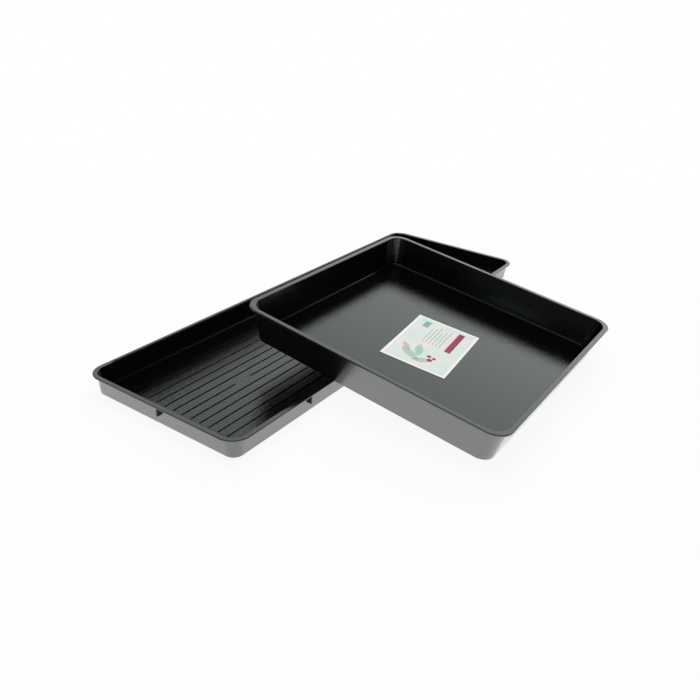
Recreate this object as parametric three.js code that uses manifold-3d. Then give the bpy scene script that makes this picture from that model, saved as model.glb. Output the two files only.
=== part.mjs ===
// Set of two black moulded plant growing trays, in millimetres with +Z up.
// A long ribbed tray stands on the ground. A square, deeper tray leans on its near rim,
// with its own front bottom edge on the ground, and carries a paper label on its floor.
// The origin is the middle of the long tray's underside and +X runs along that tray.
import * as THREE from 'three';
import { mergeVertices } from 'three/addons/utils/BufferGeometryUtils.js';
import Module from 'manifold-3d';

const wasm = await Module();
wasm.setup();

// Sizes that both trays share.
const WALL = 2.5;
const RIM_OVERHANG = 8;
const RIM_CORNER_RADIUS = 38;
const BASE_ROUND_INSIDE = 4;
const RIM_OUTER_ROUND = 0.8;
const RIM_INNER_ROUND = 1.5;
const RIM_ROOT_ROUND = 1;

// The long tray.
const LONG_LENGTH = 1150;
const LONG_WIDTH = 390;
const LONG_HEIGHT = 45;
const LONG_TAPER = 4.5;
const LONG_RIM_THICKNESS = 3;
const LONG_BASE_CORNER_RADIUS = 15;
const LONG_BASE_ROUND = 6;

// Drainage ribs on the long tray's floor. Their row lies a little off its middle line.
const RIB_PITCH = 23;
const RIB_ROW_SHIFT = 4.6;
const RIB_WIDTH = 2;
const RIB_TOP_WIDTH = 1.2;
const RIB_HEIGHT = 1.5;
const RIB_END_MARGIN = 58;
const RIB_SIDE_MARGIN = 52;
const RIB_SINK = 1;
const BREAK_START = 204;
const BREAK_LENGTH = 46;

// Small upright webs under the long tray's rim.
const WEB_THICKNESS = 3.5;
const WEB_DROP = 16;
const WEB_RIM_SETBACK = 1;
const WEB_SINK = 1;
const WEB_SIDE_MARGIN = 212;
const END_WEB_SHIFT = 4.7;

// The square tray. Its floor is raised, so it stands on the foot of its walls.
const SQUARE_SIDE = 588;
const SQUARE_HEIGHT = 77;
const SQUARE_TAPER = 13.5;
const SQUARE_RIM_THICKNESS = 4;
const SQUARE_BASE_CORNER_RADIUS = 25;
const SQUARE_BASE_ROUND = 1;
const SQUARE_FLOOR_RISE = 7;
const FOOT_ROOT_ROUND = 1;
const SQUARE_OFFSET_X = -21.5;
const SQUARE_REACH = 334;

// The label on the square tray's floor.
const LABEL_LENGTH = 210;
const LABEL_WIDTH = 148;
const LABEL_THICKNESS = 0.4;
const LABEL_OFFSET_X = -12.7;
const LABEL_OFFSET_Y = -6.2;
const LABEL_TURN = THREE.MathUtils.degToRad(6.4);

// Clearances where one piece rests on another or on the ground.
const RESTING_GAP = 0.3;
const GROUND_GAP = 0.3;

// Fineness of the round edges.
const CORNER_STEPS = 8;
const ARC_STEP = THREE.MathUtils.degToRad(24);

const LONG_TRAY = {
  length: LONG_LENGTH,
  width: LONG_WIDTH,
  height: LONG_HEIGHT,
  taper: LONG_TAPER,
  rim: LONG_RIM_THICKNESS,
  baseCorner: LONG_BASE_CORNER_RADIUS,
  baseRound: LONG_BASE_ROUND,
  floorRise: 0,
};
const SQUARE_TRAY = {
  length: SQUARE_SIDE,
  width: SQUARE_SIDE,
  height: SQUARE_HEIGHT,
  taper: SQUARE_TAPER,
  rim: SQUARE_RIM_THICKNESS,
  baseCorner: SQUARE_BASE_CORNER_RADIUS,
  baseRound: SQUARE_BASE_ROUND,
  floorRise: SQUARE_FLOOR_RISE,
};

// Replaces each corner of a path by an arc that is tangent to both its sides.
function roundedPath(corners) {
  const path = [corners[0].at.clone()];
  for (let i = 1; i < corners.length - 1; i += 1) {
    const { at, radius } = corners[i];
    const back = corners[i - 1].at.clone().sub(at).normalize();
    const ahead = corners[i + 1].at.clone().sub(at).normalize();
    const opening = Math.acos(THREE.MathUtils.clamp(back.dot(ahead), -1, 1));
    const tangent = radius / Math.tan(opening / 2);
    const toCentre = back.clone().add(ahead).normalize();
    const centre = at.clone().addScaledVector(toCentre, radius / Math.sin(opening / 2));
    const from = at.clone().addScaledVector(back, tangent).sub(centre);
    const to = at.clone().addScaledVector(ahead, tangent).sub(centre);
    const turn = Math.atan2(from.cross(to), from.dot(to));
    const steps = Math.max(2, Math.ceil(Math.abs(turn) / ARC_STEP));
    for (let k = 0; k <= steps; k += 1) {
      const spoke = from.clone().rotateAround(new THREE.Vector2(), (turn * k) / steps);
      path.push(spoke.add(centre));
    }
  }
  path.push(corners[corners.length - 1].at.clone());
  return path;
}

// Horizontal thickness of a tray's leaning wall.
function wallAcross(tray) {
  return WALL / Math.cos(Math.atan2(tray.taper, tray.height));
}

// Inset of a tray's outer wall from the edge of its rim at one height.
function wallInset(tray, z) {
  return RIM_OVERHANG + tray.taper * (1 - z / tray.height);
}

// Length from the wall's sharp base corner to where the base rounding meets the underside.
function baseTangent(tray) {
  const opening = Math.PI / 2 + Math.atan2(tray.taper, tray.height);
  return tray.baseRound / Math.tan(opening / 2);
}

// Height of the top of a tray's floor.
function floorTop(tray) {
  return tray.floorRise + WALL;
}

// Inner side of the foot that a raised floor leaves standing below it.
function footInside(tray) {
  if (tray.floorRise === 0) {
    return [];
  }
  const across = wallAcross(tray);
  const root = wallInset(tray, tray.floorRise) + across;
  return [
    { at: new THREE.Vector2(root, tray.floorRise), radius: FOOT_ROOT_ROUND },
    { at: new THREE.Vector2(wallInset(tray, 0) + across, 0), radius: tray.baseRound },
  ];
}

// Section through a tray's wall as inset from the rim's edge and height,
// from the underside, up the outside, over the rim and down to the floor.
function traySection(tray) {
  const across = wallAcross(tray);
  const underRim = tray.height - tray.rim;
  const floor = floorTop(tray);
  const flat = wallInset(tray, 0) + 2 * BASE_ROUND_INSIDE + WALL;
  return roundedPath([
    { at: new THREE.Vector2(flat, tray.floorRise) },
    ...footInside(tray),
    { at: new THREE.Vector2(wallInset(tray, 0), 0), radius: tray.baseRound },
    { at: new THREE.Vector2(wallInset(tray, underRim), underRim), radius: RIM_ROOT_ROUND },
    { at: new THREE.Vector2(0, underRim), radius: RIM_OUTER_ROUND },
    { at: new THREE.Vector2(0, tray.height), radius: RIM_OUTER_ROUND },
    { at: new THREE.Vector2(RIM_OVERHANG + across, tray.height), radius: RIM_INNER_ROUND },
    { at: new THREE.Vector2(wallInset(tray, floor) + across, floor), radius: BASE_ROUND_INSIDE },
    { at: new THREE.Vector2(flat, floor) },
  ]).slice(1, -1);
}

// Rectangle with round corners, as a loop of points that runs anticlockwise.
function roundedLoop(length, width, radius) {
  const loop = [];
  const middles = [[1, 1], [-1, 1], [-1, -1], [1, -1]];
  middles.forEach(([sx, sy], quarter) => {
    for (let k = 0; k <= CORNER_STEPS; k += 1) {
      const angle = (Math.PI / 2) * (quarter + k / CORNER_STEPS);
      const x = sx * (length / 2 - radius) + radius * Math.cos(angle);
      const y = sy * (width / 2 - radius) + radius * Math.sin(angle);
      loop.push([x, y]);
    }
  });
  return loop;
}

// Carries the section round the tray's outline and closes it with the underside and the floor.
function trayShell(tray) {
  const section = traySection(tray);
  const floorInset = section[section.length - 1].x;
  const rings = section.map(({ x: inset, y: height }) => {
    const radius = THREE.MathUtils.lerp(RIM_CORNER_RADIUS, tray.baseCorner, inset / floorInset);
    const loop = roundedLoop(tray.length - 2 * inset, tray.width - 2 * inset, radius);
    return loop.map(([x, y]) => [x, y, height]);
  });
  const count = rings[0].length;
  const positions = rings.flat(2);
  const underside = rings.length * count;
  const floor = underside + 1;
  positions.push(0, 0, tray.floorRise, 0, 0, floorTop(tray));
  const faces = [];
  const last = (rings.length - 1) * count;
  for (let i = 0; i < count; i += 1) {
    const next = (i + 1) % count;
    faces.push(underside, next, i);
    faces.push(floor, last + i, last + next);
    for (let r = 0; r < rings.length - 1; r += 1) {
      const low = r * count;
      const high = low + count;
      faces.push(low + i, low + next, high + i);
      faces.push(low + next, high + next, high + i);
    }
  }
  const shell = new THREE.BufferGeometry();
  shell.setAttribute('position', new THREE.Float32BufferAttribute(positions, 3));
  shell.setIndex(faces);
  return shell;
}

// One straight rib lying along X from start to end, sunk a little into the floor.
function rib(y, start, end) {
  const profile = new THREE.Shape([
    new THREE.Vector2(-RIB_WIDTH / 2, -RIB_SINK),
    new THREE.Vector2(RIB_WIDTH / 2, -RIB_SINK),
    new THREE.Vector2(RIB_WIDTH / 2, 0),
    new THREE.Vector2(RIB_TOP_WIDTH / 2, RIB_HEIGHT),
    new THREE.Vector2(-RIB_TOP_WIDTH / 2, RIB_HEIGHT),
    new THREE.Vector2(-RIB_WIDTH / 2, 0),
  ]);
  const bar = new THREE.ExtrudeGeometry(profile, { depth: end - start, bevelEnabled: false });
  bar.rotateX(Math.PI / 2);
  bar.rotateZ(Math.PI / 2);
  bar.translate(start, y, floorTop(LONG_TRAY));
  return bar;
}

// All the ribs that fit between the side margins. The rib just before the middle of the row
// has one short break.
function ribs() {
  const list = [];
  const from = -LONG_LENGTH / 2 + RIB_END_MARGIN;
  const to = LONG_LENGTH / 2 - RIB_END_MARGIN;
  const gap = -LONG_LENGTH / 2 + BREAK_START;
  const perSide = Math.floor((LONG_WIDTH / 2 - RIB_SIDE_MARGIN) / RIB_PITCH + 0.5);
  for (let i = 0; i < perSide; i += 1) {
    const aside = (i + 0.5) * RIB_PITCH;
    const far = RIB_ROW_SHIFT + aside;
    const near = RIB_ROW_SHIFT - aside;
    list.push(rib(far, from, to));
    if (i === 0) {
      list.push(rib(near, from, gap));
      list.push(rib(near, gap + BREAK_LENGTH, to));
    } else {
      list.push(rib(near, from, to));
    }
  }
  return list;
}

// One web under the rim at a place on the near side, then turned to the side it belongs to.
function web(along, reach, turn) {
  const top = LONG_HEIGHT - LONG_RIM_THICKNESS + WEB_SINK;
  const foot = LONG_HEIGHT - LONG_RIM_THICKNESS - WEB_DROP;
  const profile = new THREE.Shape([
    new THREE.Vector2(WEB_RIM_SETBACK, foot),
    new THREE.Vector2(wallInset(LONG_TRAY, foot) + WEB_SINK, foot),
    new THREE.Vector2(wallInset(LONG_TRAY, top) + WEB_SINK, top),
    new THREE.Vector2(WEB_RIM_SETBACK, top),
  ]);
  const plate = new THREE.ExtrudeGeometry(profile, { depth: WEB_THICKNESS, bevelEnabled: false });
  plate.translate(0, 0, -WEB_THICKNESS / 2);
  plate.rotateX(Math.PI / 2);
  plate.rotateZ(Math.PI / 2);
  plate.translate(along, -reach, 0);
  plate.rotateZ(turn);
  return plate;
}

// The webs: spread along both long sides, and one near the middle of each end.
function webs() {
  const list = [];
  const spread = LONG_LENGTH / 2 - WEB_SIDE_MARGIN;
  for (const turn of [0, Math.PI]) {
    for (const along of [-spread, 0, spread]) {
      list.push(web(along, LONG_WIDTH / 2, turn));
    }
    list.push(web(END_WEB_SHIFT, LONG_LENGTH / 2, turn + Math.PI / 2));
  }
  return list;
}

function solid(geometry) {
  const bare = new THREE.BufferGeometry();
  bare.setAttribute('position', geometry.getAttribute('position'));
  bare.setIndex(geometry.getIndex());
  const welded = mergeVertices(bare, 1e-4);
  return new wasm.Manifold(new wasm.Mesh({
    numProp: 3,
    vertProperties: new Float32Array(welded.getAttribute('position').array),
    triVerts: new Uint32Array(welded.getIndex().array),
  }));
}

function surface(body) {
  const { vertProperties, triVerts } = body.getMesh();
  const geometry = new THREE.BufferGeometry();
  geometry.setAttribute('position', new THREE.BufferAttribute(vertProperties, 3));
  geometry.setIndex(new THREE.BufferAttribute(triVerts, 1));
  geometry.computeVertexNormals();
  return geometry;
}

function piece(name, geometry, color, roughness) {
  const material = new THREE.MeshStandardMaterial({ color, roughness, metalness: 0 });
  const mesh = new THREE.Mesh(geometry, material);
  mesh.name = name;
  return mesh;
}

let longBody = solid(trayShell(LONG_TRAY));
for (const feature of [...ribs(), ...webs()]) {
  longBody = longBody.add(solid(feature));
}
const longTray = piece('long_tray', surface(longBody), 0x121314, 0.35);

// The square tray turns about the middle of the rounding of its front foot, which stands on the
// ground, until its foot meets the near rim of the long tray.
const frontRounding = SQUARE_SIDE / 2 - wallInset(SQUARE_TRAY, 0) - baseTangent(SQUARE_TRAY);
const rise = LONG_HEIGHT + RESTING_GAP - SQUARE_BASE_ROUND - GROUND_GAP;
const span = Math.hypot(rise, SQUARE_REACH);
const tilt = Math.atan2(rise, SQUARE_REACH) + Math.asin(SQUARE_BASE_ROUND / span);

const squareBody = solid(trayShell(SQUARE_TRAY));
const squareTray = piece('square_tray', surface(squareBody), 0x141516, 0.35);
squareTray.position.set(0, frontRounding, -SQUARE_BASE_ROUND);

const labelSheet = new THREE.BoxGeometry(LABEL_LENGTH, LABEL_WIDTH, LABEL_THICKNESS);
const label = piece('label', labelSheet, 0xe9efe9, 0.6);
label.position.set(
  LABEL_OFFSET_X,
  frontRounding + LABEL_OFFSET_Y,
  floorTop(SQUARE_TRAY) - SQUARE_BASE_ROUND + RESTING_GAP + LABEL_THICKNESS / 2,
);
label.rotation.z = LABEL_TURN;

const leaning = new THREE.Group();
leaning.name = 'leaning_tray';
leaning.add(squareTray, label);
leaning.position.set(SQUARE_OFFSET_X, -LONG_WIDTH / 2 - SQUARE_REACH, SQUARE_BASE_ROUND + GROUND_GAP);
leaning.rotation.x = tilt;

const part = new THREE.Group();
part.name = 'plant_growing_trays';
part.add(longTray, leaning);

export default part;
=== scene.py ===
# %% [markdown]
# # Two plant growing trays
#
# A long, shallow tray with drainage ribs stands on the ground, and a square, deeper tray leans on
# its near rim with a paper label on its floor. Both trays are single black plastic mouldings.
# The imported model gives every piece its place, so the first step loads it and keeps its box.

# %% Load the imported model
import math

import bpy
from mathutils import Matrix, Vector


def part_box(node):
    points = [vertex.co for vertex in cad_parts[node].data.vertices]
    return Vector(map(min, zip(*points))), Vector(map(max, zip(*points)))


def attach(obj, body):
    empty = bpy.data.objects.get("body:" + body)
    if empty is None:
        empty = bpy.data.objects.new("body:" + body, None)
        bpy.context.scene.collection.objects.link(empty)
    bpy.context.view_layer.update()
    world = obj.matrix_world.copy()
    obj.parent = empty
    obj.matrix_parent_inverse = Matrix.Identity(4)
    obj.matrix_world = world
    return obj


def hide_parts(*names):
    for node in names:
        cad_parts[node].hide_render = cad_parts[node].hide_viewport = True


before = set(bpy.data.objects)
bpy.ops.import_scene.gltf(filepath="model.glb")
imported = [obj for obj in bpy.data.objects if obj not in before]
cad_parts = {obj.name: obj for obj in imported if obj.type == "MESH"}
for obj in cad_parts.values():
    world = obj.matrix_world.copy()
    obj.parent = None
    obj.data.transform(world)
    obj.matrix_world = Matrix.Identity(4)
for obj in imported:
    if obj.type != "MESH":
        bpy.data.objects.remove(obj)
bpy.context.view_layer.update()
scene = bpy.context.scene
scene.view_settings.view_transform = "Standard"

# %% [markdown]
# ## The camera
#
# The camera comes first, because everything else is judged through it. It could be turned by hand
# until the edges line up, but the trays are straight-sided, so their rims give its place, its three
# angles and its focal length by a fit. The focal length is in pixels of a square picture.

# %% Camera at the fitted place
PICTURE_PIXELS = 700
FOCAL_PIXELS = 731.9
SENSOR_MM = 36.0
CAMERA_PLACE = Vector((-1.3091, -0.8968, 0.7612))
YAW = math.radians(33.351)
PITCH = math.radians(27.65)
ROLL = math.radians(3.144)

forward = Vector((math.cos(YAW) * math.cos(PITCH), math.sin(YAW) * math.cos(PITCH),
                  -math.sin(PITCH)))
level_right = Vector((math.sin(YAW), -math.cos(YAW), 0))
level_up = level_right.cross(forward)
right = math.cos(ROLL) * level_right + math.sin(ROLL) * level_up
up = math.cos(ROLL) * level_up - math.sin(ROLL) * level_right
view = Matrix((right, up, -forward)).transposed().to_4x4()

camera_data = bpy.data.cameras.new("camera")
camera_data.sensor_width = SENSOR_MM
camera_data.lens = SENSOR_MM * FOCAL_PIXELS / PICTURE_PIXELS
camera = bpy.data.objects.new("camera", camera_data)
camera.matrix_world = Matrix.Translation(CAMERA_PLACE) @ view
scene.collection.objects.link(camera)
scene.camera = camera
print("lens:", round(camera_data.lens, 2), "mm")

# %% [markdown]
# ## A bench for node trees
#
# Geometry and materials are both node trees here. They could be wired by hand, but that hides the
# sums, so one small class carries a socket and turns arithmetic on it into Math nodes, and one
# method makes any other node from its type, its settings and the values or wires of its sockets.


# %% A wire that can be reckoned with
class Wire:
    """One value on its way through a node tree. Arithmetic on it adds Math nodes."""

    def __init__(self, bench, socket):
        self.bench = bench
        self.socket = socket

    def also(self, name):
        """Another output of the node that this value comes from."""
        return Wire(self.bench, self.socket.node.outputs[name])

    def math(self, operation, other=0.0):
        return self.bench.math(operation, self, other)

    def __add__(self, other):
        return self.bench.math("ADD", self, other)

    def __sub__(self, other):
        return self.bench.math("SUBTRACT", self, other)

    def __rsub__(self, other):
        return self.bench.math("SUBTRACT", other, self)

    def __mul__(self, other):
        return self.bench.math("MULTIPLY", self, other)

    def __truediv__(self, other):
        return self.bench.math("DIVIDE", self, other)

    def __gt__(self, other):
        return self.bench.math("GREATER_THAN", self, other)

    def __lt__(self, other):
        return self.bench.math("LESS_THAN", self, other)

    __radd__ = __add__
    __rmul__ = __mul__


print("a wire understands + - * / < > and every operation of the Math node")


# %% The bench
class Bench:
    """A node tree under construction."""

    def __init__(self, tree):
        self.tree = tree

    def socket(self, sockets, key):
        """A socket by its place, its identifier or its name."""
        if isinstance(key, int):
            return sockets[key]
        named = [s for s in sockets if s.identifier == key]
        return named[0] if named else sockets[key]

    def node(self, kind, settings=None, sockets=None, out=0):
        """Makes a node, fills its sockets with values or wires, and gives one output."""
        made = self.tree.nodes.new(kind)
        for name, value in (settings or {}).items():
            if name == "stops":
                self.set_stops(made.color_ramp, value)
            else:
                setattr(made, name, value)
        for key, value in (sockets or {}).items():
            socket = self.socket(made.inputs, key)
            for source in value if isinstance(value, list) else [value]:
                if isinstance(source, Wire):
                    self.tree.links.new(source.socket, socket)
                else:
                    socket.default_value = source
        return Wire(self, self.socket(made.outputs, out)) if made.outputs else None

    def set_stops(self, ramp, stops):
        while len(ramp.elements) < len(stops):
            ramp.elements.new(1.0)
        for element, (position, colour) in zip(ramp.elements, stops):
            element.position = position
            element.color = colour

    def math(self, operation, first, second):
        return self.node("ShaderNodeMath", {"operation": operation}, {0: first, 1: second})


print("the bench makes nodes in geometry, material and world trees")

# %% [markdown]
# ## Sizes
#
# These are the sizes of the real trays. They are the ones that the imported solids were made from, in
# metres, so the finished surfaces land on the solids. They could be typed into every step, but both
# trays are made alike, so one small class holds them and each step is given either tray.

# %% Sizes of the trays
MM = 0.001
WALL = 2.5 * MM
RIM_OVERHANG = 8 * MM


class Tray:
    """The sizes of one tray, given in millimetres and kept in metres."""

    def __init__(self, length, width, height, taper, rim, base_round, floor_rise):
        self.length = length * MM
        self.width = width * MM
        self.height = height * MM
        self.taper = taper * MM
        self.rim = rim * MM
        self.base_round = base_round * MM
        self.floor_rise = floor_rise * MM
        self.floor = self.floor_rise + WALL
        self.across = WALL / math.cos(math.atan2(taper, height))

    def wall_inset(self, z):
        """How far the outer wall stands in from the rim's edge at one height."""
        return RIM_OVERHANG + self.taper * (1 - z / self.height)


LONG = Tray(length=1150, width=390, height=45, taper=4.5, rim=3, base_round=6, floor_rise=0)
SQUARE = Tray(length=588, width=588, height=77, taper=13.5, rim=4, base_round=1, floor_rise=7)
for name, tray in (("long tray:", LONG), ("square tray:", SQUARE)):
    print(name, tray.length, tray.width, tray.height)

# %% [markdown]
# ## The section of a tray
#
# Cut through a tray's wall and the same line shows everywhere: flat underside, round base edge,
# leaning wall, out-turned rim, and back down the inside to the floor. The square tray's floor is
# raised, so there the wall runs on below it as a foot. The line could be a curve drawn by hand.
# Here it is a chain of points in a small mesh, because its corners are known and each gets an arc.

# %% Rounded chains of points
ARC_STEP = math.radians(9)


def rounded(corners):
    """Points along straight lines, with an arc of the given radius at each inner corner."""
    path = [Vector(corners[0][0])]
    for (before, _), (at, radius), (after, _) in zip(corners, corners[1:], corners[2:]):
        at = Vector(at)
        back = (Vector(before) - at).normalized()
        ahead = (Vector(after) - at).normalized()
        opening = back.angle(ahead)
        centre = at + (back + ahead).normalized() * radius / math.sin(opening / 2)
        start = at + back * radius / math.tan(opening / 2) - centre
        turn = -start.angle_signed(at + ahead * radius / math.tan(opening / 2) - centre)
        steps = max(2, math.ceil(abs(turn) / ARC_STEP))
        for k in range(steps + 1):
            path.append(centre + Matrix.Rotation(turn * k / steps, 2) @ start)
    path.append(Vector(corners[-1][0]))
    return path


def chain(name, points, closed=False):
    """A helper object whose mesh is only edges, for a node tree to use as a section."""
    edges = [(i, i + 1) for i in range(len(points) - 1)]
    if closed:
        edges.append((len(points) - 1, 0))
    mesh = bpy.data.meshes.new(name)
    mesh.from_pydata([(x, y, 0) for x, y in points], edges, [])
    helper = bpy.data.objects.new(name, mesh)
    scene.collection.objects.link(helper)
    return helper


print("an arc takes a step every", round(math.degrees(ARC_STEP)), "degrees")

# %% The section of a wall
BASE_ROUND_INSIDE = 4 * MM
RIM_OUTER_ROUND = 0.8 * MM
RIM_INNER_ROUND = 1.5 * MM
RIM_ROOT_ROUND = 1 * MM
FOOT_ROOT_ROUND = 1 * MM
FLAT_MARGIN = 2 * MM


def tray_section(tray):
    """The wall's section as inset from the rim's edge and height, from underside to floor."""
    under_rim = tray.height - tray.rim
    base = tray.wall_inset(0)
    floor = tray.wall_inset(tray.floor) + tray.across
    foot = []
    if tray.floor_rise > 0:
        foot_root = tray.wall_inset(tray.floor_rise) + tray.across
        foot = [((foot_root, tray.floor_rise), FOOT_ROOT_ROUND),
                ((base + tray.across, 0), tray.base_round)]
    return rounded([
        ((base + tray.across + tray.base_round + FLAT_MARGIN, tray.floor_rise), 0),
        *foot,
        ((base, 0), tray.base_round),
        ((tray.wall_inset(under_rim), under_rim), RIM_ROOT_ROUND),
        ((0, under_rim), RIM_OUTER_ROUND),
        ((0, tray.height), RIM_OUTER_ROUND),
        ((RIM_OVERHANG + tray.across, tray.height), RIM_INNER_ROUND),
        ((floor, tray.floor), BASE_ROUND_INSIDE),
        ((floor + BASE_ROUND_INSIDE + FLAT_MARGIN, tray.floor), 0),
    ])


print("section points:", len(tray_section(LONG)), len(tray_section(SQUARE)))

# %% [markdown]
# ## Carrying the section round: a Geometry Nodes tree
#
# Each tray could be modelled by insetting and extruding faces, but its rule is simple: one section
# goes round a rectangle with round corners. Curve to Mesh does just that. The two open edges that
# are left, round the floor and round the underside, are filled and merged, so the shell is closed.

# %% Helpers for geometry trees
SOCKET_KINDS = {float: "NodeSocketFloat", int: "NodeSocketInt", Vector: "NodeSocketVector"}


def geometry_tree(name, inputs):
    """A new geometry tree with named inputs, its bench and a wire for each input."""
    tree = bpy.data.node_groups.new(name, "GeometryNodeTree")
    tree.interface.new_socket("Geometry", in_out="OUTPUT", socket_type="NodeSocketGeometry")
    tree.interface.new_socket("Geometry", in_out="INPUT", socket_type="NodeSocketGeometry")
    for label, kind in inputs.items():
        tree.interface.new_socket(label, in_out="INPUT", socket_type=SOCKET_KINDS.get(kind, kind))
    bench = Bench(tree)
    entry = bench.node("NodeGroupInput")
    return bench, {label: entry.also(label) for label in ["Geometry", *inputs]}


def close_tree(bench, geometry, material):
    """Every tree ends alike: instances made real, a material set, and the result handed out."""
    real = bench.node("GeometryNodeRealizeInstances", {}, {"Geometry": geometry})
    painted = bench.node("GeometryNodeSetMaterial", {}, {"Geometry": real, "Material": material})
    bench.node("NodeGroupOutput", {}, {0: painted})
    return bench.tree


def add_tree(piece, tree, values):
    """Puts a tree on a piece as a modifier and sets its inputs by their identifiers."""
    modifier = piece.modifiers.new(tree.name, "NODES")
    modifier.node_group = tree
    for item in tree.interface.items_tree:
        if item.in_out == "INPUT" and item.name in values:
            modifier[item.identifier] = values[item.name]


def settle(piece):
    """Turns what the modifiers show into the piece's own plain mesh."""
    shown = piece.evaluated_get(bpy.context.evaluated_depsgraph_get())
    mesh = bpy.data.meshes.new_from_object(shown)
    piece.modifiers.clear()
    piece.data = mesh


def new_piece(name):
    """An empty mesh object at the origin."""
    piece = bpy.data.objects.new(name, bpy.data.meshes.new(name))
    scene.collection.objects.link(piece)
    return piece


print("a tree's inputs may be", [kind.__name__ for kind in SOCKET_KINDS], "or a kind of socket")

# %% The shell tree
OPEN_EDGE_FACES = 1.5  # an open edge has one face, any other has two
MERGE_DISTANCE = 1e-5


def shell_tree():
    bench, given = geometry_tree("tray_shell", {
        "Section": "NodeSocketObject", "Length": float, "Width": float, "Corner Radius": float,
        "Corner Steps": int, "Floor Rise": float, "Floor Height": float,
        "Material": "NodeSocketMaterial"})
    outline = bench.node("GeometryNodeCurvePrimitiveQuadrilateral", {"mode": "RECTANGLE"},
                         {"Width": given["Length"], "Height": given["Width"]})
    path = bench.node("GeometryNodeFilletCurve", {"mode": "POLY"}, {
        "Curve": outline, "Count": given["Corner Steps"], "Radius": given["Corner Radius"]})
    section = bench.node("GeometryNodeObjectInfo", {}, {"Object": given["Section"]}, "Geometry")
    profile = bench.node("GeometryNodeMeshToCurve", {}, {"Mesh": section})
    wall = bench.node("GeometryNodeCurveToMesh", {}, {"Curve": path, "Profile Curve": profile})
    open_edge = bench.node("GeometryNodeInputMeshEdgeNeighbors") < OPEN_EDGE_FACES
    place = bench.node("GeometryNodeInputPosition")
    middle = (given["Floor Rise"] + given["Floor Height"]) * 0.5
    high = bench.node("ShaderNodeSeparateXYZ", {}, {0: place}, "Z") > middle

    def sheet(edges, height):
        loop = bench.node("GeometryNodeMeshToCurve", {}, {"Mesh": wall, "Selection": edges})
        filled = bench.node("GeometryNodeFillCurve", {"mode": "NGONS"}, {"Curve": loop})
        lift = bench.node("ShaderNodeCombineXYZ", {}, {"Z": height})
        return bench.node("GeometryNodeTransform", {}, {"Geometry": filled, "Translation": lift})

    floor = sheet(open_edge * high, given["Floor Height"])
    base = sheet(open_edge * (1 - high), given["Floor Rise"])
    base = bench.node("GeometryNodeFlipFaces", {}, {"Mesh": base})
    whole = bench.node("GeometryNodeJoinGeometry", {}, {"Geometry": [wall, floor, base]})
    whole = bench.node("GeometryNodeMergeByDistance", {}, {
        "Geometry": whole, "Distance": MERGE_DISTANCE})
    return close_tree(bench, whole, given["Material"])


tray_tree = shell_tree()
print("tree:", tray_tree.name, len(tray_tree.nodes), "nodes")

# %% [markdown]
# ## The black plastic
#
# The trays are moulded in black plastic. The colour is so dark that nearly all that shows is shine,
# and a fine grain, finer than a grain of rice, breaks up the edges of every reflection. The grain
# could be cut into the mesh, but it is far too fine for that, so it is a bump from one noise, and
# deeper on the long tray. A broad mottle lets the gloss drift a little. Two attributes of the mesh
# tell the finishes apart: outer faces have a bright, even skin, which the coat layer gives, and
# rims are polished, so both lose most of the grain. The black itself is painted in two shades: a
# little lighter outside, as painted light on the lit outer walls, and darker inside, as painted
# shade in the trays; the mottle in the outer black is the plastic's own tone.


# %% Values of the plastic
GRAIN_SIZE = 3 * MM
GRAIN_DETAIL = 1.0
GRAIN_LOSS_BY_POLISH = 0.85
LONG_GRAIN_DEPTH = 0.5 * MM
SQUARE_GRAIN_DEPTH = 0.25 * MM
LONG_ROUGHNESS = 0.14
SQUARE_ROUGHNESS = 0.07
POLISHED_ROUGHNESS = 0.11
MOTTLE_SIZE = 90 * MM
MOTTLE_DETAIL = 4.0
GLOSS_MOTTLE = 0.05
OUTSIDE_BLACK_SHARE = 0.8
OUTSIDE_BLACK_MOTTLE = 0.4
PLASTIC_IOR = 1.5
SKIN_IOR = 2.45
SKIN_ROUGHNESS = 0.28
RIM_SKIN_SHARE = 0.12
SHINE = (0.82, 1.0, 0.89, 1)
# Painted light and shade: one plastic, but its black is a shade lighter on the lit outer walls and
# darker on the shaded insides.
INSIDE_BLACK_PAINTED_SHADE = (0.001, 0.001, 0.001, 1)
OUTSIDE_BLACK_PAINTED_LIGHT = (0.006, 0.0063, 0.0062, 1)
print("grain:", GRAIN_SIZE, "m; depths:", LONG_GRAIN_DEPTH, SQUARE_GRAIN_DEPTH)


# %% The moulded plastic
def new_material(name):
    material = bpy.data.materials.new(name)
    material.use_nodes = True
    material.node_tree.nodes.clear()
    return material, Bench(material.node_tree)


def noise(bench, place, size, detail):
    return bench.node("ShaderNodeTexNoise", {}, {
        "Vector": place, "Scale": 1 / size, "Detail": detail})


def blend(bench, under, over, share):
    """One colour laid over another."""
    return bench.node("ShaderNodeMix", {"data_type": "RGBA"}, {
        "Factor_Float": share, "A_Color": under, "B_Color": over}, "Result_Color")


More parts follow.
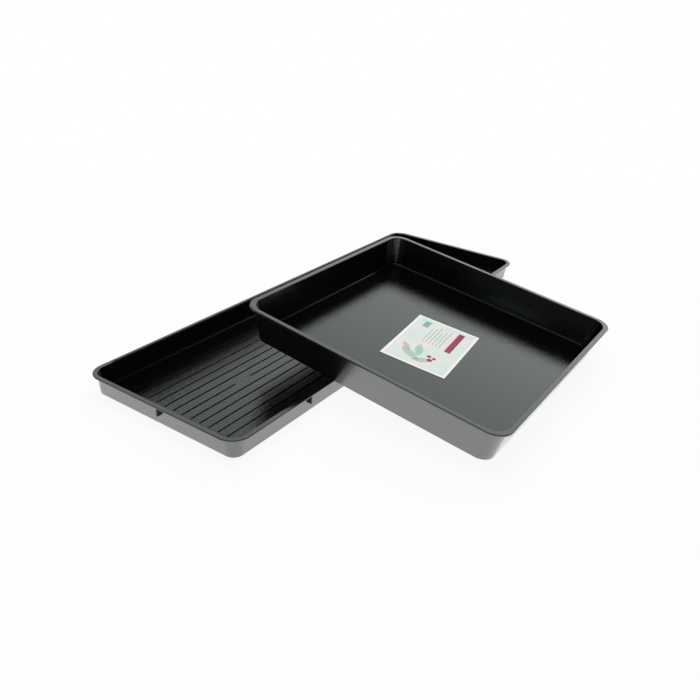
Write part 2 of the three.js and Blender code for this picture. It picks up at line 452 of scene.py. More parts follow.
def moulded_plastic(name, grain_depth, inside_roughness):
    material, bench = new_material(name)
    place = bench.node("ShaderNodeTexCoord", out="Object")
    outside = bench.node("ShaderNodeAttribute", {"attribute_name": "outside"}, out="Fac")
    polished = bench.node("ShaderNodeAttribute", {"attribute_name": "polished"}, out="Fac")
    mottle = noise(bench, place, MOTTLE_SIZE, MOTTLE_DETAIL)
    grain = noise(bench, place, GRAIN_SIZE, GRAIN_DETAIL) * (1 - GRAIN_LOSS_BY_POLISH * polished)
    bump = bench.node("ShaderNodeBump", {}, {
        "Height": grain, "Strength": 1.0, "Distance": grain_depth})
    # Painted light and shade: the darker black inside, the lighter black on the outer walls, drifting
    # with the mottle there.
    colour = blend(bench, INSIDE_BLACK_PAINTED_SHADE, OUTSIDE_BLACK_PAINTED_LIGHT,
                   outside * (OUTSIDE_BLACK_SHARE + OUTSIDE_BLACK_MOTTLE * mottle))
    polish = (POLISHED_ROUGHNESS - inside_roughness) * polished
    skin = outside + RIM_SKIN_SHARE * (polished - outside)
    shader = bench.node("ShaderNodeBsdfPrincipled", {}, {
        "Base Color": colour, "Roughness": inside_roughness + polish + GLOSS_MOTTLE * mottle,
        "IOR": PLASTIC_IOR, "Specular Tint": SHINE, "Coat Weight": skin, "Coat IOR": SKIN_IOR,
        "Coat Roughness": SKIN_ROUGHNESS, "Normal": bump})
    bench.node("ShaderNodeOutputMaterial", {}, {"Surface": shader})
    return material


long_plastic = moulded_plastic("long_tray_plastic", LONG_GRAIN_DEPTH, LONG_ROUGHNESS)
square_plastic = moulded_plastic("square_tray_plastic", SQUARE_GRAIN_DEPTH, SQUARE_ROUGHNESS)
print("materials:", [m.name for m in bpy.data.materials])

# %% [markdown]
# ## The two shells
#
# A real tray's shell is one skin of plastic of even thickness, from the underside over the rim to
# the floor. The same tree makes both. A section lies in its own flat mesh with its first axis
# pointing out of the tray and its second pointing down, because that is how Curve to Mesh holds a
# section on a path that runs anticlockwise.

# %% Shells from the tree
RIM_CORNER_RADIUS = 38 * MM
CORNER_STEPS = 20


def tray_shell(name, tray, material):
    line = [(-inset, -height) for inset, height in reversed(tray_section(tray))]
    section = chain(name + "_section", line)
    piece = new_piece(name)
    add_tree(piece, tray_tree, {
        "Section": section, "Length": tray.length, "Width": tray.width, "Material": material,
        "Corner Radius": RIM_CORNER_RADIUS, "Corner Steps": CORNER_STEPS,
        "Floor Rise": tray.floor_rise, "Floor Height": tray.floor})
    settle(piece)
    bpy.data.objects.remove(section)
    return piece


def volume(mesh):
    """The volume of a closed mesh, which shows that its faces point outwards."""
    mesh.calc_loop_triangles()
    points = mesh.vertices
    total = 0.0
    for triangle in mesh.loop_triangles:
        a, b, c = (points[i].co for i in triangle.vertices)
        total += a.dot(b.cross(c)) / 6
    return total


def tell(piece):
    print(piece.name, len(piece.data.polygons), "faces,", round(volume(piece.data) * 1e6, 1), "cm3")


long_tray = tray_shell("long_tray_moulding", LONG, long_plastic)
square_tray = tray_shell("square_tray_moulding", SQUARE, square_plastic)
tell(long_tray)
tell(square_tray)

# %% [markdown]
# ## Drainage ribs
#
# Low ribs run along the long tray's floor so that pots stand clear of the water. They repeat at one
# pitch, in a row that lies a little off the tray's middle. Boxes on an Array modifier would do, but
# their ends would be blunt, so a tree makes a row: a line whose points crowd towards its ends, a
# section carried along it that shrinks into the floor at both ends, and a copy at each place of the
# row. One rib has a short break, so the same tree is used four times with other inputs.

# %% The rib tree
RIB_END_CURVE = 0.5


def rib_tree():
    bench, given = geometry_tree("rib_row", {
        "Section": "NodeSocketObject", "First": Vector, "Step": Vector, "Count": int,
        "Start": float, "End": float, "Points": int, "End Taper": float, "End Size": float,
        "Material": "NodeSocketMaterial"})
    run = given["End"] - given["Start"]
    line = bench.node("GeometryNodeCurvePrimitiveLine", {"mode": "POINTS"}, {"End": (1, 0, 0)})
    line = bench.node("GeometryNodeResampleCurve", {"mode": "COUNT"}, {
        "Curve": line, "Count": given["Points"]})
    share = bench.node("GeometryNodeSplineParameter")
    crowded = 0.5 - 0.5 * (share * math.pi).math("COSINE")
    spot = bench.node("ShaderNodeCombineXYZ", {}, {"X": given["Start"] + run * crowded})
    line = bench.node("GeometryNodeSetPosition", {}, {"Geometry": line, "Position": spot})
    to_end = share.math("MINIMUM", 1 - share) * run / given["End Taper"]
    swell = to_end.math("MINIMUM", 1.0).math("POWER", RIB_END_CURVE)
    size = given["End Size"] + (1 - given["End Size"]) * swell
    line = bench.node("GeometryNodeSetCurveRadius", {}, {"Curve": line, "Radius": size})
    places = bench.node("GeometryNodeMeshLine", {"mode": "OFFSET"}, {
        "Count": given["Count"], "Start Location": given["First"], "Offset": given["Step"]})
    row = bench.node("GeometryNodeInstanceOnPoints", {}, {"Points": places, "Instance": line})
    row = bench.node("GeometryNodeRealizeInstances", {}, {"Geometry": row})
    section = bench.node("GeometryNodeObjectInfo", {}, {"Object": given["Section"]}, "Geometry")
    profile = bench.node("GeometryNodeMeshToCurve", {}, {"Mesh": section})
    bars = bench.node("GeometryNodeCurveToMesh", {}, {
        "Curve": row, "Profile Curve": profile, "Fill Caps": True})
    whole = bench.node("GeometryNodeJoinGeometry", {}, {"Geometry": [given["Geometry"], bars]})
    return close_tree(bench, whole, given["Material"])


ribs_tree = rib_tree()
print("tree:", ribs_tree.name, len(ribs_tree.nodes), "nodes")

# %% The section of a rib
RIB_WIDTH = 2 * MM
RIB_TOP_WIDTH = 1.2 * MM
RIB_HEIGHT = 1.5 * MM
RIB_TOP_ROUND = 0.4 * MM
RIB_SINK = 1 * MM

rib_flank = (RIB_WIDTH - RIB_TOP_WIDTH) / 2 / RIB_HEIGHT
rib_foot = RIB_WIDTH / 2 + rib_flank * RIB_SINK
rib_section = chain("rib_section", [(x, -z) for x, z in rounded([
    ((-rib_foot, -RIB_SINK), 0),
    ((-RIB_TOP_WIDTH / 2, RIB_HEIGHT), RIB_TOP_ROUND),
    ((RIB_TOP_WIDTH / 2, RIB_HEIGHT), RIB_TOP_ROUND),
    ((rib_foot, -RIB_SINK), 0),
])], closed=True)
print("rib section points:", len(rib_section.data.vertices))

# %% Rows of ribs
RIB_PITCH = 23 * MM
RIB_ROW_SHIFT = 4.6 * MM
RIB_END_MARGIN = 58 * MM
RIBS_PER_SIDE = 6
RIB_POINTS = 36
RIB_END_TAPER = 5 * MM
RIB_END_SIZE = 0.25
BREAK_START = 204 * MM
BREAK_LENGTH = 46 * MM

rib_start = -LONG.length / 2 + RIB_END_MARGIN
rib_end = LONG.length / 2 - RIB_END_MARGIN
rib_break = -LONG.length / 2 + BREAK_START
far_rib = RIB_ROW_SHIFT + RIB_PITCH / 2
broken_rib = RIB_ROW_SHIFT - RIB_PITCH / 2
RIB_ROWS = [
    (far_rib, RIBS_PER_SIDE, rib_start, rib_end),
    (broken_rib - (RIBS_PER_SIDE - 1) * RIB_PITCH, RIBS_PER_SIDE - 1, rib_start, rib_end),
    (broken_rib, 1, rib_start, rib_break),
    (broken_rib, 1, rib_break + BREAK_LENGTH, rib_end),
]
ribs = new_piece("ribs")
for y, count, start, end in RIB_ROWS:
    add_tree(ribs, ribs_tree, {
        "Section": rib_section, "First": (0, y, LONG.floor), "Step": (0, RIB_PITCH, 0),
        "Count": count, "Start": start, "End": end, "Points": RIB_POINTS,
        "End Taper": RIB_END_TAPER, "End Size": RIB_END_SIZE, "Material": long_plastic})
settle(ribs)
bpy.data.objects.remove(rib_section)
tell(ribs)

# %% [markdown]
# ## Webs under the rim
#
# Small upright webs brace the long tray's rim against its wall, three on a side and one on an end.
# Each one is a thin plate. Cubes could be scaled and set by hand, but a web's inner edge follows
# the leaning wall, so its outline is a section, carried over the plate's own thickness. A row is
# copied along a side and then turned to the side that it belongs to.


# %% The web tree
def web_tree():
    bench, given = geometry_tree("web_row", {
        "Section": "NodeSocketObject", "Thickness": float, "First": Vector, "Step": Vector,
        "Count": int, "Turn": float, "Material": "NodeSocketMaterial"})
    half = given["Thickness"] * 0.5
    line = bench.node("GeometryNodeCurvePrimitiveLine", {"mode": "POINTS"}, {
        "Start": bench.node("ShaderNodeCombineXYZ", {}, {"X": 0 - half}),
        "End": bench.node("ShaderNodeCombineXYZ", {}, {"X": half})})
    section = bench.node("GeometryNodeObjectInfo", {}, {"Object": given["Section"]}, "Geometry")
    profile = bench.node("GeometryNodeMeshToCurve", {}, {"Mesh": section})
    plate = bench.node("GeometryNodeCurveToMesh", {}, {
        "Curve": line, "Profile Curve": profile, "Fill Caps": True})
    places = bench.node("GeometryNodeMeshLine", {"mode": "OFFSET"}, {
        "Count": given["Count"], "Start Location": given["First"], "Offset": given["Step"]})
    row = bench.node("GeometryNodeInstanceOnPoints", {}, {"Points": places, "Instance": plate})
    turn = bench.node("ShaderNodeCombineXYZ", {}, {"Z": given["Turn"]})
    row = bench.node("GeometryNodeTransform", {}, {"Geometry": row, "Rotation": turn})
    whole = bench.node("GeometryNodeJoinGeometry", {}, {"Geometry": [given["Geometry"], row]})
    return close_tree(bench, whole, given["Material"])


webs_tree = web_tree()
print("tree:", webs_tree.name, len(webs_tree.nodes), "nodes")

# %% Rows of webs
WEB_THICKNESS = 3.5 * MM
WEB_DROP = 16 * MM
WEB_RIM_SETBACK = 1 * MM
WEB_SINK = 1 * MM
WEB_SIDE_MARGIN = 212 * MM
WEBS_PER_SIDE = 3
WEBS_PER_END = 1
END_WEB_SHIFT = 4.7 * MM

web_top = LONG.height - LONG.rim
web_foot = web_top - WEB_DROP
web_section = chain("web_section", [(-inset, -height) for inset, height in [
    (WEB_RIM_SETBACK, web_foot),
    (LONG.wall_inset(web_foot) + WEB_SINK, web_foot),
    (LONG.wall_inset(web_top) + WEB_SINK, web_top + WEB_SINK),
    (WEB_RIM_SETBACK, web_top + WEB_SINK),
]], closed=True)
web_spread = LONG.length / 2 - WEB_SIDE_MARGIN
WEB_ROWS = [
    (0, LONG.width / 2, -web_spread, WEBS_PER_SIDE),
    (math.pi / 2, LONG.length / 2, END_WEB_SHIFT, WEBS_PER_END),
]
webs = new_piece("webs")
for turn in (0, math.pi):
    for quarter, reach, first, count in WEB_ROWS:
        add_tree(webs, webs_tree, {
            "Section": web_section, "Thickness": WEB_THICKNESS, "First": (first, -reach, 0),
            "Step": (web_spread, 0, 0), "Count": count, "Turn": turn + quarter,
            "Material": long_plastic})
settle(webs)
bpy.data.objects.remove(web_section)
tell(webs)

# %% [markdown]
# ## One moulding
#
# On the real tray the ribs and webs are one body with the shell. They could be left as parts that
# run into each other, but then the mesh wouldn't be one closed skin, so a Boolean union joins them.
# The joined mesh is shaded smooth except at edges sharper than the steps of its round edges.

# %% Join ribs and webs to the long tray
SHARP_ANGLE = math.radians(28)

for feature in (ribs, webs):
    union = long_tray.modifiers.new("join_" + feature.name, "BOOLEAN")
    union.operation = "UNION"
    union.solver = "MANIFOLD"
    union.object = feature
settle(long_tray)
for feature in (ribs, webs):
    bpy.data.objects.remove(feature)
for moulding in (long_tray, square_tray):
    moulding.data.shade_smooth()
    moulding.data.set_sharp_from_angle(angle=SHARP_ANGLE)
tell(long_tray)

# %% [markdown]
# ## Marking the finishes
#
# The outer faces of the mould have a brighter skin than the inside, partly a coat of shine and
# partly painted light, and rims are polished. The webs under the rim get neither: they keep the dark
# inside black with no skin, a painted shade under the rim. Faces could be picked by hand for more
# materials, but the borders are rules: a point is outside if it lies further out than the middle of
# the wall. So two attributes are written, and the plastic reads them. They sit on the corners of the
# faces, because a web's faces share points with the wall and rim and still need values of their own.

# %% Mark the outer skin and the polish
SKIN_EDGE_SHARE = 0.6  # the skin ends this share of the rim's thickness below its top
WEB_STANDS_OUT = 0.5 * MM


def inset_from_rim(tray, x, y):
    """Distance in from the outline of the rim, a rectangle with round corners."""
    across = abs(x) - (tray.length / 2 - RIM_CORNER_RADIUS)
    along = abs(y) - (tray.width / 2 - RIM_CORNER_RADIUS)
    if across > 0 and along > 0:
        return RIM_CORNER_RADIUS - math.hypot(across, along)
    return RIM_CORNER_RADIUS - max(across, along)


def on_web(tray, x, y, z):
    """Whether a place under the rim stands out from the wall, as only a web does."""
    under_rim = z < tray.height - tray.rim - RIM_ROOT_ROUND
    return under_rim and inset_from_rim(tray, x, y) < tray.wall_inset(z) - WEB_STANDS_OUT


def mark_finish(piece, tray):
    """Writes the outer skin and the polish, also on the rim; webs get neither, a painted shade."""
    outside = []
    polished = []
    for point in piece.data.vertices:
        x, y, z = point.co
        outer = inset_from_rim(tray, x, y) < tray.wall_inset(z) + tray.across / 2
        underneath = z < tray.floor_rise + WALL / 2
        low = z < tray.height - SKIN_EDGE_SHARE * tray.rim
        outside.append(1.0 if low and (outer or underneath) else 0.0)
        polished.append(max(outside[-1], 1.0 if z > tray.height - tray.rim else 0.0))
    # Web faces get neither skin nor polish, so they show the dark inside black: painted shade under
    # the rim.
    painted_shade_web_faces = {face.index for face in piece.data.polygons if on_web(tray, *face.center)}
    for name, values in (("outside", outside), ("polished", polished)):
        corners = [0.0 if face.index in painted_shade_web_faces else values[point]
                   for face in piece.data.polygons for point in face.vertices]
        piece.data.attributes.new(name, "FLOAT", "CORNER").data.foreach_set("value", corners)
    return round(sum(outside)), round(sum(polished)), len(painted_shade_web_faces)


print("outer points, polished points and web faces:", mark_finish(long_tray, LONG),
      mark_finish(square_tray, SQUARE))

# %% [markdown]
# ## Base corners
#
# A section carried round an outline gives corners that tighten towards the base as much as the wall
# steps in. The square tray's corners tighten less than that and the long tray's a little more. A
# loft between two outlines would do it too, but the mesh is already there, so every point of a
# corner is moved on to an arc of the wanted radius that still meets both sides.

# %% Set the radius of the base corners
LONG_BASE_CORNER_RADIUS = 15 * MM
SQUARE_BASE_CORNER_RADIUS = 25 * MM
ARC_END_SLACK = 1.5 * MM


def reshape_corners(piece, tray, base_radius):
    """Moves the points of all four corners and tells how many there were."""
    deepest = tray.wall_inset(tray.floor) + tray.across + BASE_ROUND_INSIDE
    middle_x = tray.length / 2 - RIM_CORNER_RADIUS
    middle_y = tray.width / 2 - RIM_CORNER_RADIUS
    moved = 0
    for point in piece.data.vertices:
        x, y, z = point.co
        out = Vector((abs(x) - middle_x, abs(y) - middle_y))
        if min(out) > -ARC_END_SLACK:
            share = (RIM_CORNER_RADIUS - out.length) / deepest
            radius = RIM_CORNER_RADIUS + (base_radius - RIM_CORNER_RADIUS) * share
            arc = out.normalized() * radius + Vector((1, 1)) * (out.length - radius)
            new_x = math.copysign(middle_x + arc.x, x)
            point.co = (new_x, math.copysign(middle_y + arc.y, y), z)
            moved += 1
    return moved


print("corner points moved:", reshape_corners(long_tray, LONG, LONG_BASE_CORNER_RADIUS),
      reshape_corners(square_tray, SQUARE, SQUARE_BASE_CORNER_RADIUS))

# %% [markdown]
# ## The square tray leans
#
# Until here the square tray stood flat at the origin. It turns about the rounding of its front foot
# until its foot meets the long tray's rim. A hair of air is left at both contacts, as in the packed
# model. The object itself could be turned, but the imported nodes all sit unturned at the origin, so
# the turn goes into the mesh.

# %% Lean the square tray
SQUARE_OFFSET_X = -21.5 * MM
SQUARE_REACH = 334 * MM
RESTING_GAP = 0.3 * MM
GROUND_GAP = 0.3 * MM

foot_round = SQUARE.base_round
foot_opening = math.pi / 2 + math.atan2(SQUARE.taper, SQUARE.height)
foot_tangent = foot_round / math.tan(foot_opening / 2)
front_rounding = SQUARE.width / 2 - SQUARE.wall_inset(0) - foot_tangent
rise = LONG.height + RESTING_GAP - foot_round - GROUND_GAP
tilt = math.atan2(rise, SQUARE_REACH) + math.asin(foot_round / math.hypot(rise, SQUARE_REACH))
pivot = Vector((SQUARE_OFFSET_X, -LONG.width / 2 - SQUARE_REACH, foot_round + GROUND_GAP))
lean = Matrix.Translation(pivot) @ Matrix.Rotation(tilt, 4, "X")
lean = lean @ Matrix.Translation((0, front_rounding, -foot_round))
square_tray.data.transform(lean)
low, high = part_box("square_tray")
print("lean:", round(math.degrees(tilt), 2), "degrees; solid from", low, "to", high)

# %% [markdown]
# ## The print on the label
#
# The label is coated paper with a pale, clouded print: leaves, berries, a bar, a badge and a few
# grey rules. A picture file could carry it, but then the part would need that file, so each motif
# is a small sum on the sheet's own UV map. The map is in millimetres, so places and sizes can be
# read straight from the sheet.

# %% Colours and places of the print
WHITE = (0.9, 0.91, 0.905, 1)
MINT = (0.6, 0.78, 0.7, 1)
BLUSH = (0.84, 0.73, 0.72, 1)
MAGENTA = (0.3, 0.012, 0.075, 1)
LEAF = (0.1, 0.3, 0.18, 1)
TEAL = (0.05, 0.4, 0.34, 1)
RULE_GREY = (0.26, 0.34, 0.33, 1)
CLOUD_SIZE = 50
CLOUD_STOPS = [(0.4, MINT), (0.6, BLUSH)]
CLOUD_AREA = (6, 6, 204, 142)
LEAVES = ((40, 96, 58, 20, 62), (66, 86, 52, 18, 16), (32, 66, 46, 16, 118), (62, 114, 40, 14, 40))
BERRIES = ((43, 52, 6), (56, 58, 5), (54, 46, 4.5))
BAR = (98, 28, 194, 42)
BADGE = (166, 110, 194, 124)
RULES = 6
RULE_LEFT, RULE_RIGHT = 104, 186
RULE_FOOT, RULE_PITCH, RULE_THICKNESS = 56, 8, 2
RULE_STEP_IN = 9
RULE_LENGTHS = 3
CLOUD_INK, LEAF_INK, BADGE_INK, RULE_INK = 0.8, 0.45, 0.8, 0.7
PAPER_DETAIL = 3.0
FIBRES_PER_MM = 1.2
FIBRE_STRENGTH = 0.4
FIBRE_DEPTH = 0.03 * MM
PAPER_ROUGHNESS = 0.42
FIBRE_ROUGHNESS = 0.15
print("motifs:", len(LEAVES) + len(BERRIES) + RULES + 2)


# %% The printed paper
def printed_paper(name):
    material, bench = new_material(name)
    sheet = bench.node("ShaderNodeUVMap", {"uv_map": "print"})
    x = bench.node("ShaderNodeSeparateXYZ", {}, {0: sheet})
    y = x.also("Y")

    def block(left, bottom, right, top):
        return (x > left) * (x < right) * (y > bottom) * (y < top)

    def leaf(middle_x, middle_y, length, width, degrees):
        turn = math.radians(degrees)
        along = (x - middle_x) * math.cos(turn) + (y - middle_y) * math.sin(turn)
        aside = (y - middle_y) * math.cos(turn) - (x - middle_x) * math.sin(turn)
        belly = 1 - (along / (length / 2)).math("POWER", 2.0)
        return aside.math("ABSOLUTE") < belly * (width / 2)

    def disc(middle_x, middle_y, radius):
        square = (x - middle_x).math("POWER", 2.0) + (y - middle_y).math("POWER", 2.0)
        return square < radius ** 2

    cloud = noise(bench, sheet, CLOUD_SIZE, PAPER_DETAIL)
    tint = bench.node("ShaderNodeValToRGB", {"stops": CLOUD_STOPS}, {0: cloud})
    colour = blend(bench, WHITE, tint, block(*CLOUD_AREA) * CLOUD_INK)
    for place in LEAVES:
        colour = blend(bench, colour, LEAF, leaf(*place) * LEAF_INK)
    for place in BERRIES:
        colour = blend(bench, colour, MAGENTA, disc(*place))
    colour = blend(bench, colour, MAGENTA, block(*BAR))
    colour = blend(bench, colour, TEAL, block(*BADGE) * BADGE_INK)
    for step in range(RULES):
        foot = RULE_FOOT + RULE_PITCH * step
        end = RULE_RIGHT - RULE_STEP_IN * (step % RULE_LENGTHS)
        rule = block(RULE_LEFT, foot, end, foot + RULE_THICKNESS)
        colour = blend(bench, colour, RULE_GREY, rule * RULE_INK)
    fibre = noise(bench, sheet, 1 / FIBRES_PER_MM, PAPER_DETAIL)
    bump = bench.node("ShaderNodeBump", {}, {
        "Height": fibre, "Strength": FIBRE_STRENGTH, "Distance": FIBRE_DEPTH})
    shader = bench.node("ShaderNodeBsdfPrincipled", {}, {
        "Base Color": colour, "Roughness": PAPER_ROUGHNESS + FIBRE_ROUGHNESS * fibre,
        "Normal": bump})
    bench.node("ShaderNodeOutputMaterial", {}, {"Surface": shader})
    return material


label_paper = printed_paper("label_paper")
print("label print:", len(label_paper.node_tree.nodes), "nodes")

# %% [markdown]
# ## The label
#
# The sheet lies on the square tray's floor, stuck down but not quite flat. A plane would look like
# a painted patch, so it is a grid of faces that lifts a hair at its corners and ripples faintly,
# and Solidify gives it a thickness. It is laid on the floor first and then leans with it.

# %% The sheet
LABEL_LENGTH = 210 * MM
LABEL_WIDTH = 148 * MM
LABEL_THICKNESS = 0.4 * MM
LABEL_OFFSET = (-12.7 * MM, -6.2 * MM)
LABEL_TURN = math.radians(6.4)
LABEL_COLUMNS = 42
LABEL_ROWS = 30
LABEL_LIFT = 0.3 * MM
CORNER_CURL = 3
RIPPLE_SHARE = 0.4
RIPPLE_ALONG, RIPPLE_ALONG_START = 9, 2
RIPPLE_ASIDE, RIPPLE_ASIDE_START = 7, 1


def sheet_lift(u, v):
    """How high the sheet lies at a share of its length and of its width."""
    corner = abs(2 * u - 1) ** CORNER_CURL * abs(2 * v - 1) ** CORNER_CURL
    wave = math.sin(RIPPLE_ALONG * u + RIPPLE_ALONG_START)
    wave *= math.sin(RIPPLE_ASIDE * v + RIPPLE_ASIDE_START)
    return LABEL_LIFT * max(corner, RIPPLE_SHARE * (0.5 + 0.5 * wave))


def label_sheet():
    points = []
    prints = []
    for j in range(LABEL_ROWS + 1):
        for i in range(LABEL_COLUMNS + 1):
            u, v = i / LABEL_COLUMNS, j / LABEL_ROWS
            points.append(((u - 0.5) * LABEL_LENGTH, (v - 0.5) * LABEL_WIDTH, sheet_lift(u, v)))
            prints.append((u * LABEL_LENGTH / MM, v * LABEL_WIDTH / MM))
    row = LABEL_COLUMNS + 1
    starts = [j * row + i for j in range(LABEL_ROWS) for i in range(LABEL_COLUMNS)]
    piece = new_piece("label_sheet")
    piece.data.from_pydata(points, [], [(a, a + 1, a + row + 1, a + row) for a in starts])
    layer = piece.data.uv_layers.new(name="print")
    for loop in piece.data.loops:
        layer.data[loop.index].uv = prints[loop.vertex_index]
    piece.data.materials.append(label_paper)
    thick = piece.modifiers.new("paper", "SOLIDIFY")
    thick.thickness = LABEL_THICKNESS
    thick.offset = 1
    settle(piece)
    piece.data.shade_smooth()
    piece.data.set_sharp_from_angle(angle=SHARP_ANGLE)
    laid = Matrix.Translation((*LABEL_OFFSET, SQUARE.floor + RESTING_GAP))
    laid = laid @ Matrix.Rotation(LABEL_TURN, 4, "Z")
    piece.data.transform(lean @ laid)
    return piece


label = label_sheet()
tell(label)

# %% [markdown]
# ## The white ground
#
# The trays stand on a white sweep. A lit white plane would come out grey and patchy, so rays from
# the camera and mirrored rays see it glow white, with a little of the trays' real shadow left in it
# near them. All other rays meet plain white paper, which throws soft light back up.

# %% Ground
GROUND_SIZE = 14.0
GROUND_BELOW = 0.4 * MM
GROUND_PAPER = (0.9, 0.9, 0.9, 1)
FULL_WHITE = (1, 1, 1, 1)
SHADOW_SHARE = 0.08
SHADOW_FADE = (0.7, 1.8)


def eased(value, start, end):
    """A smooth step from 0 to 1 between two values."""
    return value.bench.node("ShaderNodeMapRange", {"interpolation_type": "SMOOTHSTEP"}, {
        "Value": value, "From Min": start, "From Max": end})


def white_ground():
    material, bench = new_material("white_ground")
    seen = bench.node("ShaderNodeLightPath", out="Is Camera Ray")
    for other in (seen.also("Is Glossy Ray"), seen.also("Is Transmission Ray")):
        seen = seen.math("MAXIMUM", other)
    place = bench.node("ShaderNodeTexCoord", out="Object")
    distance = bench.node("ShaderNodeVectorMath", {"operation": "LENGTH"}, {0: place}, "Value")
    shadow = SHADOW_SHARE * (1 - eased(distance, *SHADOW_FADE))
    paper = bench.node("ShaderNodeBsdfDiffuse", {}, {"Color": GROUND_PAPER})
    glow = bench.node("ShaderNodeEmission", {}, {"Color": FULL_WHITE, "Strength": 1.0})
    mixed = bench.node("ShaderNodeMixShader", {}, {0: seen * (1 - shadow), 1: paper, 2: glow})
    bench.node("ShaderNodeOutputMaterial", {}, {"Surface": mixed})
    return material


ground = new_piece("ground")
half = GROUND_SIZE / 2
ground_corners = ((-half, -half), (half, -half), (half, half), (-half, half))
ground.data.from_pydata([(x, y, -GROUND_BELOW) for x, y in ground_corners], [], [(0, 1, 2, 3)])
ground.data.materials.append(white_ground())
print("ground:", GROUND_SIZE, "m")

# %% [markdown]
# ## The surroundings
#
# Black plastic shows mostly what it mirrors, so the surroundings matter more than the lamps. A
# picture of a studio could be wrapped round, but it couldn't be tuned, so the world is a few soft
# patches that ease in and out with the direction: a bright backdrop behind the trays that gives the
# floors their sheen, a fainter fill behind the camera, a soft ceiling straight above, and a dim
# room for the rest. The camera itself sees plain white.

# %% World
BACKDROP_LEVEL = 1.5
BACKDROP_SLOPE = -1.1
BACKDROP_FOOT = (0.1, 0.4)
BACKDROP_TOP = (0.6, 0.72)
BACKDROP_SIDES = (0.53, 0.66)
BACKDROP_SLANT = 0.5
FILL_LEVEL = 0.3
FILL_SIDES = (0.25, 0.6)
FILL_FOOT = (0.05, 0.3)
CEILING_LEVEL = 0.55
CEILING_EDGE = (0.88, 0.96)
ROOM_LEVEL = 0.04


def surroundings():
    world = bpy.data.worlds.new("surroundings")
    world.use_nodes = True
    world.node_tree.nodes.clear()
    bench = Bench(world.node_tree)
    direction = bench.node("ShaderNodeTexCoord", out="Generated")

    def along(axis):
        return bench.node("ShaderNodeVectorMath", {"operation": "DOT_PRODUCT"}, {
            0: direction, 1: axis}, "Value")

    behind = along((math.cos(YAW), math.sin(YAW), 0))
    leftward = along((-math.sin(YAW), math.cos(YAW), 0))
    upward = along((0, 0, 1))
    slant = BACKDROP_SLANT * leftward.math("MINIMUM", 0.0)
    band = eased(upward, *BACKDROP_FOOT) * (1 - eased(upward + slant, *BACKDROP_TOP))
    level = (BACKDROP_LEVEL + BACKDROP_SLOPE * leftward).math("MAXIMUM", 0.0)
    backdrop = level * band * eased(behind, *BACKDROP_SIDES)
    fill = FILL_LEVEL * eased(0 - behind, *FILL_SIDES) * eased(upward, *FILL_FOOT)
    ceiling = CEILING_LEVEL * eased(upward, *CEILING_EDGE)
    camera_ray = bench.node("ShaderNodeLightPath", out="Is Camera Ray")
    strength = (backdrop + fill + ceiling + ROOM_LEVEL) * (1 - camera_ray) + camera_ray
    shade = bench.node("ShaderNodeBackground", {}, {"Color": FULL_WHITE, "Strength": strength})
    bench.node("ShaderNodeOutputWorld", {}, {"Surface": shade})
    return world


scene.world = surroundings()
print("world:", len(scene.world.node_tree.nodes), "nodes")

# %% [markdown]
# ## The lamps
#
# Two softboxes, as in a small studio. Point lamps would do for the light, but not for the shine.
# The tall one in front is mirrored, because it draws thin bright lines on round edges. The wide one
# overhead lights the label. It isn't mirrored, because it would make the label glare.


# %% Softboxes
def softbox(name, place, aim, size, level, mirrored):
    """A rectangular lamp of the given brightness that faces a point."""
    lamp = bpy.data.lights.new(name, "AREA")
    lamp.shape = "RECTANGLE"
    lamp.size, lamp.size_y = size
    lamp.energy = level * math.pi * size[0] * size[1]
    holder = bpy.data.objects.new(name, lamp)
    facing = (Vector(aim) - Vector(place)).to_track_quat("-Z", "Y").to_matrix().to_4x4()
    holder.matrix_world = Matrix.Translation(place) @ facing
    scene.collection.objects.link(holder)
    holder.visible_glossy = mirrored


softbox("front_softbox", place=(-1.27, -2.18, 0.55), aim=(0, -0.3, 0.03), size=(0.36, 0.7),
        level=7.0, mirrored=True)
softbox("overhead_softbox", place=(0.1, 0.1, 2.4), aim=(0, -0.1, 0), size=(2.4, 2.4),
        level=2.6, mirrored=False)

# %% [markdown]
# ## Dark cards
#
# A photographer holds black card near glossy things to draw dark edges on them. Here the floors
# should go dark close to the far walls. Making the whole backdrop start higher would take the sheen
# with it, so two thin cards stand just over the far rims. Only mirrored rays meet them.


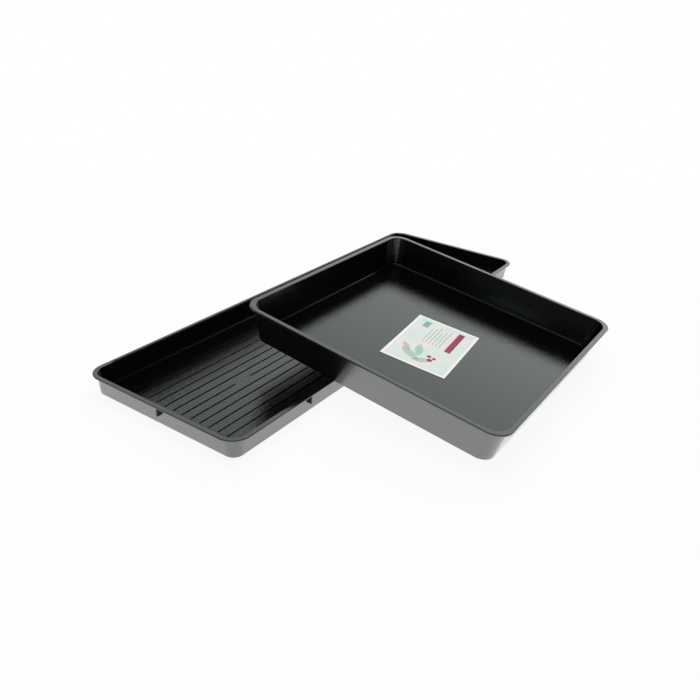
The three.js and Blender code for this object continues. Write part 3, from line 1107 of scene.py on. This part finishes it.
# %% Cards over the far rims
def dark_card(name, foot, rise):
    """A black card that only mirrored rays meet, standing on a line of points."""
    card = new_piece(name)
    points = [Vector(p) for p in foot] + [Vector(p) + Vector(rise) for p in foot]
    count = len(foot)
    faces = [(k, k + 1, count + k + 1, count + k) for k in range(count - 1)]
    card.data.from_pydata(points, [], faces)
    material, bench = new_material(name)
    black = bench.node("ShaderNodeBsdfDiffuse", {}, {"Color": (0, 0, 0, 1)})
    bench.node("ShaderNodeOutputMaterial", {}, {"Surface": black})
    card.data.materials.append(material)
    card.visible_camera = False
    card.visible_diffuse = False
    card.visible_shadow = False


LONG_CARD_ENDS = (-0.5, 0.6)
LONG_CARD_BEHIND = 10 * MM
LONG_CARD_ABOVE = 11 * MM
LONG_CARD_HEIGHT = 44 * MM
SQUARE_CARD_HEIGHT = 7 * MM
CARD_CORNER_STEPS = 8

card_y = LONG.width / 2 + LONG_CARD_BEHIND
card_z = LONG.height + LONG_CARD_ABOVE
dark_card("long_tray_card", [(x, card_y, card_z) for x in LONG_CARD_ENDS], (0, 0, LONG_CARD_HEIGHT))

straight = SQUARE.length / 2 - RIM_CORNER_RADIUS
bend = RIM_CORNER_RADIUS - RIM_OVERHANG - SQUARE.across
turns = [math.pi / 2 * (1 - k / CARD_CORNER_STEPS) for k in range(CARD_CORNER_STEPS + 1)]
rim_line = [(-straight, straight + bend)]
rim_line += [(straight + bend * math.cos(a), straight + bend * math.sin(a)) for a in turns]
rim_line += [(straight + bend, -straight)]
dark_card("square_tray_card", [lean @ Vector((x, y, SQUARE.height)) for x, y in rim_line],
          lean.to_3x3() @ Vector((0, 0, SQUARE_CARD_HEIGHT)))

# %% [markdown]
# ## Hand over to the imported model
#
# Each finished piece stands for its imported node and moves with that node's body; the imported
# node is hidden. The finished trays must not be larger than the imported ones.

# %% Ride and replace
for piece, node, body, slot in (
    (long_tray, "long_tray", "long_tray", "long_tray_plastic"),
    (square_tray, "square_tray", "square_tray", "square_tray_plastic"),
    (label, "label", "square_tray", "label_paper"),
):
    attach(piece, body)
    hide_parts(node)
